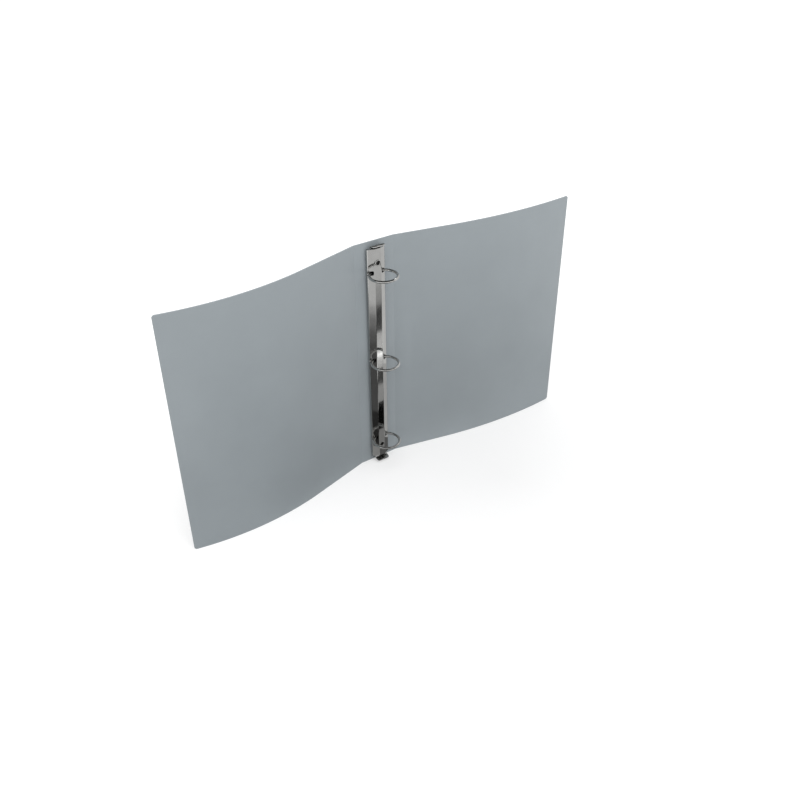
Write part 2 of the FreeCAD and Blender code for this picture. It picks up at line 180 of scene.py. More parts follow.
# Groups of the pieces that a board lights: all of them, the ring metal alone or the sheet alone
EVERY, METAL_ONLY, SHEET_ONLY = None, "ring_metal", "cover_sheet"
# Boards that only reflections show, off the floor: name, what they light, tone and corners
HUNG_CARDS = (
    ("ceiling_card", EVERY, 0.053, (-1.4, -1.7, 1.0), (1.2, 1.0, 1.0)),
    ("back_card", EVERY, 0.09, (0.2, 1.2, 0.1), (1.2, 1.2, 1.05)),
    ("glint_card", METAL_ONLY, 6, (0.6, 0.05, 0.98), (0.78, 0.35, 0.98)),
    ("upper_side_board", EVERY, 0.82, (0.045, -0.04, 0.11), (0.045, -0.002, 0.29)),
    ("lower_side_board", EVERY, 0.6, (0.045, -0.04, 0.0), (0.045, -0.002, 0.11)),
)
# Limits in X of the boards left and right of the spine, and heights of the layers that they lie in
LEFT, RIGHT = (-0.22, -0.001), (0.001, 0.35)
GROUND, UNDER, STRIP, OVER, TOP = 0.5 * MM, 0.8 * MM, 1 * MM, 1.2 * MM, 1.5 * MM
# The same on the floor: name, what they light, tone, limits in X, limits in Y and height
FLOOR_CARDS = (
    ("grey_card", EVERY, 0.78, (-0.4, 0.5), (-0.65, -0.02), GROUND),
    ("side_card", EVERY, 0.1, (-0.45, -0.22), (-0.2, -0.001), STRIP),
    ("left_card", METAL_ONLY, 0.105, LEFT, (-0.275, -0.001), STRIP),
    ("left_fade", EVERY, 0.15, LEFT, (-0.315, -0.275), STRIP),
    ("left_far_fade", EVERY, 0.27, LEFT, (-0.36, -0.315), STRIP),
    ("left_outer_fade", METAL_ONLY, 0.52, LEFT, (-0.388, -0.36), STRIP),
    ("left_near_card", METAL_ONLY, 0.035, LEFT, (-0.1045, -0.037), OVER),
    ("left_foot_card", METAL_ONLY, 0.38, LEFT, (-0.032, -0.001), OVER),
    ("left_sheet_card", SHEET_ONLY, 0.105, LEFT, (-0.275, -0.001), TOP),
    ("left_outer_sheet_card", SHEET_ONLY, 0.78, LEFT, (-0.388, -0.36), TOP),
    ("right_card", METAL_ONLY, 0.78, RIGHT, (-0.39, -0.001), UNDER),
    ("far_fade", METAL_ONLY, 0.49, RIGHT, (-0.412, -0.3435), STRIP),
    ("far_strip", METAL_ONLY, 0.08, RIGHT, (-0.3435, -0.27), STRIP),
    ("white_strip", METAL_ONLY, 2.4, RIGHT, (-0.2185, -0.2095), STRIP),
    ("middle_strip", METAL_ONLY, 0.08, RIGHT, (-0.183, -0.149), STRIP),
    ("near_fade", METAL_ONLY, 0.46, RIGHT, (-0.149, -0.1115), STRIP),
    ("near_strip", METAL_ONLY, 0.005, RIGHT, (-0.1115, -0.06), STRIP),
    ("foot_card", METAL_ONLY, 0.32, RIGHT, (-0.06, -0.001), STRIP),
    ("end_card", METAL_ONLY, 0.15, RIGHT, (-0.026, -0.001), OVER),
    ("right_sheet_card", SHEET_ONLY, 0.39, RIGHT, (-0.412, -0.001), TOP),
)
# The board on the floor that takes bounced light away in front of the spine
BOUNCE_CARD = ("bounce_card", EVERY, 0.1, (-0.16, 0.14), (-0.42, -0.05), GROUND)


def ring_centre(place):
    return Vector(MOUNTS[f"{place}_ring_loop"]["pos_m"])


def post_height(place):
    low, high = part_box(f"{place}_mounting_post")
    return (low.z + high.z) / 2


def pin_centre(place):
    low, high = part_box(f"{place}_trigger_pin")
    return (low + high) / 2


def length_prop(name, description, millimetres):
    return FloatProperty(name=name, description=description, default=millimetres * MM, unit="LENGTH")


def angle_prop(name, description, degrees):
    return FloatProperty(name=name, description=description, default=math.radians(degrees), subtype="ANGLE")


def share_prop(name, description, default):
    return FloatProperty(
        name=name, description=description, default=default, subtype="FACTOR", min=0, max=1)


def colour_prop(name, description, default):
    return FloatVectorProperty(
        name=name, description=description, default=default, subtype="COLOR", min=0, max=1)


def place_prop(name, description, default):
    return FloatVectorProperty(
        name=name, description=description, default=default, subtype="XYZ", unit="LENGTH")


class SheetSettings(bpy.types.PropertyGroup):
    front_angle: angle_prop("Front angle", "How far the front cover stands closed of flat, at its hinge", 15)
    front_flat: length_prop("Front flat run", "Hinge line to the start of the front cover's bow", 75)
    front_bow: angle_prop("Front bow", "How far the front cover bows back over the rest of its width", 28)
    back_angle: angle_prop("Back angle", "How far the back cover stands closed of flat, at its hinge", 12.5)
    back_flat: length_prop("Back flat run", "Hinge line to the start of the back cover's bow", 68)
    back_bow: angle_prop("Back bow", "How far the back cover bows back over the rest of its width", 17)
    corner_radius: length_prop("Corner radius", "Rounding of the covers' free corners", 3)
    edge_round: length_prop("Edge rounding", "Softening of the sheet's cut edges", 0.25)
    crease_depth: length_prop("Crease depth", "How far each hinge is pressed in on the inner face", 0.05)
    colour: colour_prop("Sheet colour", "Colour of the plastic sheet", (0.302, 0.336, 0.356))
    roughness: share_prop("Sheet roughness", "Roughness of the sheet's faces", 0.34)
    edge_colour: colour_prop("Cut edge colour", "Colour of the sheet's cut edges", (0.322, 0.356, 0.376))
    edge_roughness: share_prop("Cut edge roughness", "Roughness of the sheet's cut edges", 0.55)


class MetalSettings(bpy.types.PropertyGroup):
    wire: length_prop("Ring wire", "Thickness of the ring wire", 3)
    tip_gap: length_prop("Tip gap", "Between the tips of a shut ring", 0.1)
    plate_dip: angle_prop("Plate dip", "How far the toggle plates dip when the rings are shut", 4)
    leg_distance: length_prop("Leg distance", "Toggle pivot to the middle of a ring's leg", 2.6)
    leg_bend: length_prop("Leg bend", "Radius of the bend from leg to ring", 2)
    steel: length_prop("Steel", "Thickness of the housing and the plates", 0.8)
    shoulder: length_prop("Shoulder", "Hem to the bend between the housing's side wall and its slope", 2.6)
    crown_half_width: length_prop("Crown", "Half the width of the housing's crown", 4)
    hem: length_prop("Hem", "Width of the inturned hems", 2)
    crown_bend: length_prop("Crown bend", "Outer radius of the bends beside the crown", 2)
    shoulder_bend: length_prop("Shoulder bend", "Outer radius of the shoulder bends", 1.5)
    hem_bend: length_prop("Hem bend", "Outer radius of the hem bends", 0.9)
    slot_inner: length_prop("Slot start", "Middle of the housing to the inner end of a leg slot", 5)
    slot_width: length_prop("Slot width", "Width of a leg slot", 5)
    slot_depth: length_prop("Slot depth", "How far a leg slot notches the side wall", 0.8)
    slot_round: length_prop("Slot rounding", "Rounding of a leg slot's inner end", 1.2)
    edge_round: length_prop("Edge rounding", "Softening of the housing's cut edges", 0.12)
    ear_radius: length_prop("Ear radius", "Round foot of the tabs that carry the pins", 1.9)
    pin_proud: length_prop("Pin proud", "Pin end past its ear", 0.3)
    plate_gap: length_prop("Plate gap", "Middle of the spine to the edge of a toggle plate", 0.25)
    bead_radius: length_prop("Bead radius", "Rolled edge that a toggle plate turns on", 0.6)
    post_hole: length_prop("Post hole", "Radius of the holes for the posts", 2.95)
    post_shoulder: length_prop("Post shoulder", "Radius of a post between spine and crown", 3.4)
    post_bore: length_prop("Post bore", "Radius of a post's bore", 2.4)
    post_notch: length_prop("Post notch", "Radius of the plates' notches round a post", 4.3)
    head_radius: length_prop("Head radius", "Rolled lip of a post on the spine's back", 3.9)
    flare_radius: length_prop("Flare radius", "Rolled lip of a post on the crown", 3.5)
    close_fit: length_prop("Close fit", "Room round a staked leg, pin or post", 0.03)
    loose_fit: length_prop("Loose fit", "Room between a trigger and its pin", 0.05)
    colour: colour_prop("Plating colour", "Colour of the nickel plating", (0.48, 0.48, 0.47))
    roughness: share_prop("Plating roughness", "Roughness of the nickel plating", 0.075)


class LeverSettings(bpy.types.PropertyGroup):
    width: length_prop("Width", "Width of a finger tab", 16)
    neck_width: length_prop("Neck width", "Width of a trigger inside the housing", 10.4)
    thickness: length_prop("Thickness", "Sheet of a trigger", 1.2)
    run: length_prop("Run", "Pin to the start of the tab's bend", 4.2)
    widening: length_prop("Widening", "Pin to where the tab widens", 3.6)
    bend: length_prop("Bend", "Radius of the tab's bend", 3)
    lean: angle_prop("Lean", "How far the tab turns up", 75)
    rise: length_prop("Rise", "Straight end of the tab", 5)
    corner: length_prop("Corner", "Rounding of the tab's corners", 3)
    edge_round: length_prop("Edge rounding", "Softening of the tab's edges", 0.3)
    hub_radius: length_prop("Hub radius", "Barrel round the pin", 1.9)
    hub_clearance: length_prop("Hub clearance", "Hub end to its ear", 0.3)
    fork_reach: length_prop("Fork reach", "Pin to the start of the fork's grip", 6.3)
    fork_grip: length_prop("Fork grip", "Length of the grip", 2.4)
    fork_gap: length_prop("Fork gap", "Room between the fork's arms", 2.2)
    fork_arm: length_prop("Fork arm", "Thickness of an arm", 0.6)
    fork_bar: length_prop("Fork bar", "Thickness of the crossbar", 0.8)
    fork_width: length_prop("Fork width", "Width of the fork", 5)
    neck_thickness: length_prop("Neck thickness", "Neck between hub and fork", 1.8)


class StageSettings(bpy.types.PropertyGroup):
    camera_place: place_prop("Camera", "Where the camera stands", (-0.46343, -0.71455, 0.65366))
    camera_azimuth: angle_prop("Azimuth", "Camera's turn round the binder", -34.76)
    camera_elevation: angle_prop("Elevation", "How far the camera looks down", 33.89)
    camera_roll: angle_prop("Roll", "Camera's tilt about its own line of sight", -0.475)
    lens: FloatProperty(
        name="Lens", description="Focal length in millimetres", default=39.21, unit="CAMERA")
    sky: FloatProperty(
        name="Sky light", description="Strength of the light from all sides", default=0.79, min=0)
    key: FloatProperty(
        name="Key light", description="Power of the large soft lamp", default=17.5, min=0, unit="POWER")
    key_place: place_prop("Key place", "Where the large soft lamp hangs", (-0.1, -0.7, 1.5))
    key_size: length_prop("Key size", "Side of the large soft lamp", 1600)
    floor_size: length_prop("Floor size", "Side of the floor", 8000)
    floor_colour: colour_prop("Floor colour", "Colour of the floor", (0.62, 0.62, 0.62))
    # The seen floor's lift grows with distance from its centre: painted shade, a darker pool round the
    # binder's front, and painted light that whitens the floor further off, the shadow behind the front cover
    # included
    near_lift: share_prop("Near lift", "How far the seen floor is lifted to white at its centre", 0.245)
    far_lift: share_prop("Far lift", "How far the seen floor is lifted to white beyond its reach", 0.62)
    lift_centre: place_prop("Lift centre", "Where the seen floor is lifted least", (0.1, -0.12, 0))
    lift_reach: length_prop("Lift reach", "Lift's centre to where the floor is lifted most", 800)


def sheet_settings():
    return bpy.context.scene.binder_sheet


def metal_settings():
    return bpy.context.scene.binder_metal


def clear_selection():
    bpy.ops.object.select_all(action="DESELECT")


def make_active(piece):
    clear_selection()
    piece.select_set(True)
    bpy.context.view_layer.objects.active = piece


def open_edit(piece, kind="VERT"):
    make_active(piece)
    bpy.ops.object.mode_set(mode="EDIT")
    bpy.ops.mesh.select_mode(type=kind)


def close_edit():
    bpy.ops.object.mode_set(mode="OBJECT")


def pick_all():
    bpy.ops.mesh.select_all(action="SELECT")


def pick(piece, kind, test):
    """Selects the vertices, edges or faces that pass a test, in edit mode."""
    bpy.ops.mesh.select_mode(type=kind)
    bpy.ops.mesh.select_all(action="DESELECT")
    mesh = bmesh.from_edit_mesh(piece.data)
    members = {"VERT": mesh.verts, "EDGE": mesh.edges, "FACE": mesh.faces}[kind]
    found = [member for member in members if test(member)]
    if not found:
        raise RuntimeError(f"nothing to select on {piece.name}")
    for member in found:
        member.select_set(True)
    mesh.select_flush_mode()
    bmesh.update_edit_mesh(piece.data)


def middle(edge):
    return (edge.verts[0].co + edge.verts[1].co) / 2


def run_along(edge, way):
    """How far an edge runs along a direction."""
    return abs((edge.verts[0].co - edge.verts[1].co).dot(way))


def is_sharp(edge):
    return len(edge.link_faces) == 2 and edge.calc_face_angle() > SHARP


def extrude(step):
    bpy.ops.mesh.extrude_region_move(TRANSFORM_OT_translate={"value": step})


def spin(centre, turn, steps, axis=UP):
    """Sweeps what is selected about an axis. The operator turns against the right-hand rule."""
    bpy.ops.mesh.spin(steps=steps, angle=-turn, center=centre, axis=axis)


def bevel(width, segments, affect="EDGES", **more):
    bpy.ops.mesh.bevel(offset=width, offset_type="OFFSET", segments=segments, affect=affect, **more)


def divide(point, way):
    """Divides all faces along a plane through a point."""
    pick_all()
    bpy.ops.mesh.bisect(plane_co=point, plane_no=way)


def named(name):
    """Names the active piece and puts its place into its mesh."""
    piece = bpy.context.object
    bpy.ops.object.transform_apply(location=True, rotation=True, scale=True)
    piece.name = name
    piece.data.name = name
    return piece


def facing(across, up):
    """The turn that lays a primitive's X and Y along two directions."""
    return Matrix((across, up, across.cross(up))).transposed().to_euler()


def standing_plane(name, centre, across, width, height):
    clear_selection()
    bpy.ops.mesh.primitive_plane_add(size=1, location=centre, rotation=facing(across, UP))
    bpy.context.object.scale = (width, height, 1)
    return named(name)


def boxed(name, centre, size):
    clear_selection()
    bpy.ops.mesh.primitive_cube_add(size=1, location=centre)
    bpy.context.object.scale = size
    return named(name)


def rod(name, centre, way, radius, length):
    """A round bar about a middle point, along a direction."""
    clear_selection()
    turn = way.to_track_quat("Z", "Y").to_euler()
    bpy.ops.mesh.primitive_cylinder_add(
        vertices=ROD_SIDES, radius=radius, depth=length, location=centre, rotation=turn)
    return named(name)


def duplicate(piece, name, move=(0, 0, 0), scale=(1, 1, 1)):
    """A copy with its own mesh, moved and scaled about the origin."""
    make_active(piece)
    bpy.ops.object.duplicate(linked=False)
    copy = bpy.context.object
    copy.location = move
    copy.scale = scale
    return named(name)


def merge_and_face_out(piece):
    open_edit(piece)
    pick_all()
    bpy.ops.mesh.remove_doubles(threshold=MERGE)
    bpy.ops.mesh.normals_make_consistent(inside=False)
    close_edit()


def mirrored(piece, name, move=(0, 0, 0), scale=(-1, 1, 1)):
    """A copy turned over about the origin, with its faces turned out again."""
    copy = duplicate(piece, name, move, scale)
    merge_and_face_out(copy)
    return copy


def apply_modifier(piece, kind, **values):
    make_active(piece)
    modifier = piece.modifiers.new(kind.lower(), kind)
    for name, value in values.items():
        setattr(modifier, name, value)
    bpy.ops.object.modifier_apply(modifier=modifier.name)


def thicken(piece, thickness, offset=0, **more):
    """Gives a surface its thickness, about its middle or, with an offset, to one side."""
    apply_modifier(piece, "SOLIDIFY", thickness=thickness, offset=offset, use_even_offset=True, **more)


def combine(piece, other, operation):
    """Joins or cuts with a closed mesh, which is used up."""
    apply_modifier(piece, "BOOLEAN", object=other, operation=operation, solver="EXACT")
    bpy.data.objects.remove(other, do_unlink=True)


def cut_away(piece, cutter):
    combine(piece, cutter, "DIFFERENCE")


def join_on(piece, other):
    combine(piece, other, "UNION")


def drill(piece, centre, way, radius, length):
    cut_away(piece, rod("drill", centre, way, radius, length))


def drill_for_post(piece, place, depth):
    """Cuts a post's hole through sheet or steel that lies at a depth."""
    centre = Vector((0, depth, post_height(place)))
    drill(piece, centre, OUT, metal_settings().post_hole, POST_DRILL)


def soften_rims(piece, width):
    """Rounds the sharp edges of a closed mesh."""
    open_edit(piece, "EDGE")
    pick(piece, "EDGE", is_sharp)
    bevel(width, RIM_STEPS, clamp_overlap=True)
    close_edit()


def smooth(piece, angle):
    """Shades a piece smooth across its bends, with its flats kept flat."""
    make_active(piece)
    bpy.ops.object.shade_smooth_by_angle(angle=angle)
    apply_modifier(piece, "WEIGHTED_NORMAL", keep_sharp=True)


def lit_group(slot):
    """The pieces of a named group, as a collection that boards can be kept to."""
    return bpy.data.collections.get(slot) or bpy.data.collections.new(slot)


def finish_piece(piece, body, slot, *nodes):
    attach(piece, body)
    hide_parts(*nodes)
    lit_group(slot).objects.link(piece)


def node(tree, kind, inputs=(), **values):
    """A shader node, with sockets linked to its inputs and other values set on them."""
    made = tree.nodes.new(kind)
    for name, value in values.items():
        setattr(made, name, value)
    for name, value in dict(inputs).items():
        if isinstance(value, bpy.types.NodeSocket):
            tree.links.new(value, made.inputs[name])
        else:
            made.inputs[name].default_value = value
    return made


def maths(tree, operation, *values):
    return node(tree, "ShaderNodeMath", dict(enumerate(values)), operation=operation).outputs[0]


def fresh_material(name):
    material = bpy.data.materials.new(name)
    material.use_nodes = True
    material.node_tree.nodes.clear()
    return material, material.node_tree


def opaque(colour):
    return (*colour, 1)


def shade(colour, factor):
    return tuple(min(1, channel * factor) for channel in colour)


def mixed_shades(tree, factor, colour, spread):
    """A colour that runs from a darker to a lighter shade by a factor."""
    mix = node(tree, "ShaderNodeMix", data_type="RGBA")
    sockets = [socket for socket in mix.inputs if socket.type == "RGBA"]
    for socket, amount in zip(sockets, spread):
        socket.default_value = opaque(shade(colour, amount))
    tree.links.new(factor, mix.inputs[0])
    return [socket for socket in mix.outputs if socket.type == "RGBA"][0]


def ranged(tree, value, low, high, start=0.3, end=0.7):
    """A value spread between two levels, from limits that suit noise unless others are given."""
    spread = node(tree, "ShaderNodeMapRange", {
        "Value": value, "From Min": start, "From Max": end, "To Min": low, "To Max": high})
    return spread.outputs["Result"]


def grain(tree, scale, detail, stretch=(1, 1, 1), roughness=0.6):
    """Noise on the piece's own coordinates, in marks per metre."""
    place = node(tree, "ShaderNodeTexCoord")
    mapping = node(tree, "ShaderNodeMapping", {"Vector": place.outputs["Object"], "Scale": stretch})
    noise = node(tree, "ShaderNodeTexNoise", {
        "Vector": mapping.outputs["Vector"], "Scale": scale, "Detail": detail, "Roughness": roughness})
    return noise.outputs["Fac"]


def bumped(tree, height, strength, distance):
    bump = node(tree, "ShaderNodeBump", {"Height": height, "Strength": strength, "Distance": distance})
    return bump.outputs["Normal"]


def close_material(tree, colour, roughness, normal, **constants):
    """The shader and its output, with the constant values on the shader's own sockets."""
    shader = node(tree, "ShaderNodeBsdfPrincipled", {
        "Base Color": colour, "Roughness": roughness, "Normal": normal, **constants})
    node(tree, "ShaderNodeOutputMaterial", {"Surface": shader.outputs["BSDF"]})


def sheet_material(name, colour, roughness):
    """Satin plastic sheet: faint cloudiness, a fine pressed grain and a sheen that varies."""
    material, tree = fresh_material(name)
    cloudiness = ranged(tree, grain(tree, scale=14, detail=4), low=0, high=1)
    cloud = mixed_shades(tree, cloudiness, colour, spread=(0.97, 1.03))
    gloss = grain(tree, scale=70, detail=4)
    sheen = ranged(tree, gloss, roughness - SHEEN_SPREAD, roughness + SHEEN_SPREAD)
    pressed = bumped(tree, grain(tree, scale=2600, detail=1), strength=0.12, distance=0.05 * MM)
    close_material(tree, cloud, sheen, pressed, IOR=1.49)
    return material


def plating_material(name, colour, roughness, stretch):
    """Bright plating over drawn steel: fine lines along the draw, and patches that are a little duller."""
    material, tree = fresh_material(name)
    patches = ranged(tree, grain(tree, scale=90, detail=3), low=0, high=1)
    tone = mixed_shades(tree, patches, colour, spread=(0.94, 1.04))
    gloss = grain(tree, scale=160, detail=4)
    dull = ranged(tree, gloss, roughness * LEAST_DULL, roughness * MOST_DULL)
    lines = grain(tree, scale=3000, detail=2, stretch=stretch)
    drawn = bumped(tree, lines, strength=0.05, distance=0.02 * MM)
    close_material(tree, tone, dull, drawn, Metallic=1.0)
    return material


def make_finish(name):
    sheet, metal = sheet_settings(), metal_settings()
    if name == "grey_sheet":
        return sheet_material(name, sheet.colour, sheet.roughness)
    if name == "cut_edge":
        return sheet_material(name, sheet.edge_colour, sheet.edge_roughness)
    if name == "housing_plating":
        return plating_material(name, metal.colour, metal.roughness, ALONG_HOUSING)
    if name == "ring_plating":
        return plating_material(name, metal.colour, metal.roughness * RING_DULL, ROUND_WIRE)
    # The bore's finish: bare steel, darkened further by painted shade for the inside of the deep hole
    if name == "bare_bore_painted_shade":
        return plating_material(name, shade(metal.colour, BORE_PAINTED_SHADE), BORE_ROUGHNESS, ROUND_WIRE)
    if name == "plate_steel":
        colour = shade(metal.colour, PLATE_SHADE)
        return plating_material(name, colour, metal.roughness * PLATE_DULL, ALONG_HOUSING)
    raise RuntimeError(f"no finish is named {name}")


def dress(piece, *finishes):
    """Gives a piece its finishes, each made when it is first asked for."""
    piece.data.materials.clear()
    for finish in finishes:
        piece.data.materials.append(bpy.data.materials.get(finish) or make_finish(finish))


def cover_setting(side, name):
    """A sheet setting of the cover on one side."""
    return getattr(sheet_settings(), f"back_{name}" if side > 0 else f"front_{name}")


def cover_ways(side):
    """The directions along a cover and out of it, at its hinge."""
    angle = cover_setting(side, "angle")
    along = Vector((side * math.cos(angle), -math.sin(angle), 0))
    outward = Vector((side * math.sin(angle), math.cos(angle), 0))
    return along, outward


def hinge_line(side):
    return Vector((side * HINGE.x, HINGE.y, 0))


def cover_start(side):
    """The foot of the line where a cover leaves its hinge strip."""
    along, outward = cover_ways(side)
    return hinge_line(side) + along * CREASE_HALF - outward * HINGE.y


def thicken_sheet(piece):
    """Gives a sheet its thickness about its middle, with the cut edges in their own finish."""
    dress(piece, "grey_sheet", "cut_edge")
    merge_and_face_out(piece)
    thicken(piece, SHEET, material_offset_rim=1)


def soften_cut_edges(piece, kept):
    """Rounds the rim of a thickened sheet, apart from the edges that a test keeps sharp."""
    open_edit(piece, "EDGE")
    pick(piece, "EDGE", lambda e: is_sharp(e) and not kept(e))
    bevel(sheet_settings().edge_round, EDGE_STEPS, clamp_overlap=True)
    close_edit()


class BINDER_OT_cover_sheets(bpy.types.Operator):
    """Model the two bowed covers"""
    bl_idname = "binder.cover_sheets"
    bl_label = "Cover sheets"

    def execute(self, context):
        for name, side in SIDES.items():
            self.cover(f"{name}_cover", side)
        return {"FINISHED"}

    def cover(self, body, side):
        flat, bow = cover_setting(side, "flat"), cover_setting(side, "bow")
        along, outward = cover_ways(side)
        start = cover_start(side)
        run = flat - CREASE_HALF
        bend = start + along * run
        bow_radius = (PANEL_WIDTH - flat) / bow
        bow_centre = hinge_line(side) + along * flat + outward * bow_radius
        free = bow_centre + Matrix.Rotation(side * bow, 3, "Z") @ (bend - bow_centre)
        centre = start + along * run / 2 + UP * MIDDLE_Z
        piece = standing_plane(f"{body}_sheet", centre, along, run, HEIGHT)
        open_edit(piece)
        pick(piece, "VERT", lambda v: (v.co - bend).dot(along) > -MERGE)
        spin(bow_centre, side * bow, BOW_STEPS)
        pick(piece, "VERT", lambda v: (v.co.xy - free.xy).length < NEAR)
        bevel(sheet_settings().corner_radius, BEND_STEPS, "VERTICES")
        close_edit()
        thicken_sheet(piece)
        soften_cut_edges(piece, lambda e: abs((middle(e) - start).dot(along)) < SEAM)
        smooth(piece, SHEET_SMOOTH)
        finish_piece(piece, body, "cover_sheet", body)


class BINDER_OT_hinge_creases(bpy.types.Operator):
    """Model the pressed strip of sheet at each hinge"""
    bl_idname = "binder.hinge_creases"
    bl_label = "Hinge creases"

    def execute(self, context):
        for name, side in SIDES.items():
            self.crease(name, side)
        return {"FINISHED"}

    def crease(self, name, side):
        angle = cover_setting(side, "angle")
        along = cover_ways(side)[0]
        across = Vector((side, 0, 0))
        edge = Vector((side * SPINE_EDGE, 0, 0))
        far = cover_start(side)
        radius = CREASE_HALF / math.tan(angle / 2) - HINGE.y
        centre = edge - OUT * radius
        stub = edge - across * STUB / 2 + UP * MIDDLE_Z
        piece = standing_plane(f"{name}_hinge_crease", stub, across, STUB, HEIGHT)
        open_edit(piece)
        pick(piece, "VERT", lambda v: abs(v.co.x - edge.x) > NEAR)
        bpy.ops.mesh.delete(type="VERT")
        pick_all()
        spin(centre, -side * angle, CREASE_STEPS)
        close_edit()
        thicken_sheet(piece)
        self.press_in(piece, centre, radius, -side * angle)
        soften_cut_edges(piece, lambda e: abs(middle(e).x - edge.x) < SEAM
                         or abs((middle(e) - far).dot(along)) < SEAM)
        smooth(piece, SHEET_SMOOTH)
        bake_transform(piece)
        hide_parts(f"{name}_hinge_web")
        lit_group("cover_sheet").objects.link(piece)

    def press_in(self, piece, centre, radius, turn):
        """Moves the middle rows of the inner face outwards, most on the hinge line."""
        depth = sheet_settings().crease_depth
        open_edit(piece)
        for step in range(1, CREASE_STEPS):
            out = Matrix.Rotation(turn * step / CREASE_STEPS, 3, "Z") @ OUT
            row = centre + out * (radius - SHEET / 2)
            pick(piece, "VERT", lambda v: (v.co.xy - row.xy).length < IN_ROW)
            rise = depth * math.sin(math.pi * step / CREASE_STEPS) ** 2
            bpy.ops.transform.translate(value=out * rise)
        close_edit()


class BINDER_OT_spine_sheet(bpy.types.Operator):
    """Model the sheet between the hinges, with its two post holes"""
    bl_idname = "binder.spine_sheet"
    bl_label = "Spine sheet"

    def execute(self, context):
        piece = standing_plane("spine_sheet", UP * MIDDLE_Z, ACROSS, 2 * SPINE_EDGE, HEIGHT)
        thicken_sheet(piece)
        soften_cut_edges(piece, lambda e: abs(abs(middle(e).x) - SPINE_EDGE) < MERGE)
        for place in END_PLACES:
            drill_for_post(piece, place, 0)
        smooth(piece, SHEET_SMOOTH)
        finish_piece(piece, "spine", "cover_sheet", "spine_panel")
        return {"FINISHED"}


def turn_between(start, end):
    """The signed angle about Z from one direction to another, the shorter way."""
    return math.atan2(start.x * end.y - start.y * end.x, start.x * end.x + start.y * end.y)


class BINDER_OT_half_rings(bpy.types.Operator):
    """Model the six half rings, with sockets on one side and nibs on the other"""
    bl_idname = "binder.half_rings"
    bl_label = "Half rings"

    def execute(self, context):
        metal = context.scene.binder_metal
        back = self.plain_half(metal)
        front = mirrored(back, "front_half_ring_middle")
        self.socket(back, metal)
        self.nib(front, metal)
        for side, model in zip(SIDES, (back, front)):
            dress(model, "ring_plating")
            smooth(model, ROUND_SMOOTH)
            for place in RING_PLACES:
                rise = ring_centre(place).z - ring_centre("middle").z
                piece = model
                if place != "middle":
                    piece = duplicate(model, f"{side}_half_ring_{place}", move=(0, 0, rise))
                finish_piece(piece, f"{side}_ring_side", "ring_metal", f"{side}_ring_half_{place}")
        return {"FINISHED"}

    def plain_half(self, metal):
        """A round wire drawn up its leg, round the leg's bend and round to the tip."""
        dip = metal.plate_dip
        leg_way = Vector((-math.sin(dip), -math.cos(dip), 0))
        bend_way = Vector((math.cos(dip), -math.sin(dip), 0))
        centre = ring_centre("middle")
        pivot = Vector((PLATE_PIVOT.x, PLATE_PIVOT.y, centre.z))
        seat = pivot - bend_way * metal.leg_distance
        radius = MOUNTS["middle_ring_loop"]["dims"]["r_mm"] * MM + metal.wire / 2
        reach = seat + bend_way * metal.leg_bend - centre
        towards = -reach.dot(leg_way)
        run = towards - math.sqrt(towards ** 2 - reach.length_squared + (radius + metal.leg_bend) ** 2)
        bend_start = seat + leg_way * run
        bend_centre = bend_start + bend_way * metal.leg_bend
        meet = centre + (bend_centre - centre).normalized() * radius
        tip_x = metal.tip_gap / 2
        tip = centre + Vector((tip_x, -math.sqrt(radius ** 2 - tip_x ** 2), 0))
        foot = seat - leg_way * metal.steel / 2

        clear_selection()
        bpy.ops.mesh.primitive_circle_add(
            vertices=WIRE_SIDES, radius=metal.wire / 2, fill_type="NGON", location=foot,
            rotation=facing(bend_way, UP))
        piece = named("back_half_ring_middle")
        open_edit(piece, "FACE")
        pick_all()
        extrude(bend_start - foot)
        spin(bend_centre, turn_between(bend_start - bend_centre, meet - bend_centre), BEND_STEPS)
        spin(centre, turn_between(meet - centre, tip - centre), RING_STEPS)
        close_edit()
        merge_and_face_out(piece)
        self.spread_foot(piece, foot, leg_way, metal)
        return piece

    def spread_foot(self, piece, foot, leg_way, metal):
        """The leg's end, hammered wider under its plate."""
        spread = STAKE_RADIUS / (metal.wire / 2)
        open_edit(piece)
        pick(piece, "FACE", lambda f: (f.calc_center_median() - foot).length < NEAR)
        extrude((0, 0, 0))
        bpy.ops.transform.resize(value=(spread, spread, spread), center_override=foot)
        extrude(-leg_way * STAKE_THICKNESS)
        close_edit()

    def draw_out_tip(self, piece, metal, radius, step):
        """Chamfers the wire's free end and draws a round core of it along X."""
        ring_y = ring_centre("middle").y

        def at_tip(face):
            spot = face.calc_center_median()
            flat = abs(face.normal.x) > FACING and len(face.verts) == WIRE_SIDES
            return flat and abs(spot.x) < NEAR and spot.y < ring_y

        pick(piece, "FACE", at_tip)
        bpy.ops.mesh.inset(thickness=TIP_CHAMFER, depth=TIP_CHAMFER)
        bpy.ops.mesh.inset(thickness=metal.wire / 2 - TIP_CHAMFER - radius)
        extrude(ACROSS * step)

    def socket(self, piece, metal):
        """A round socket sunk into the tip."""
        open_edit(piece, "FACE")
        self.draw_out_tip(piece, metal, SOCKET_RADIUS, SOCKET_DEPTH)
        close_edit()

    def nib(self, piece, metal):
        """A tapered nib on the tip."""
        open_edit(piece, "FACE")
        self.draw_out_tip(piece, metal, NIB_RADIUS, NIB_LENGTH)
        bpy.ops.transform.resize(value=(1, NIB_TAPER, NIB_TAPER))
        bpy.ops.mesh.inset(thickness=NIB_CHAMFER, depth=NIB_CROWN)
        close_edit()


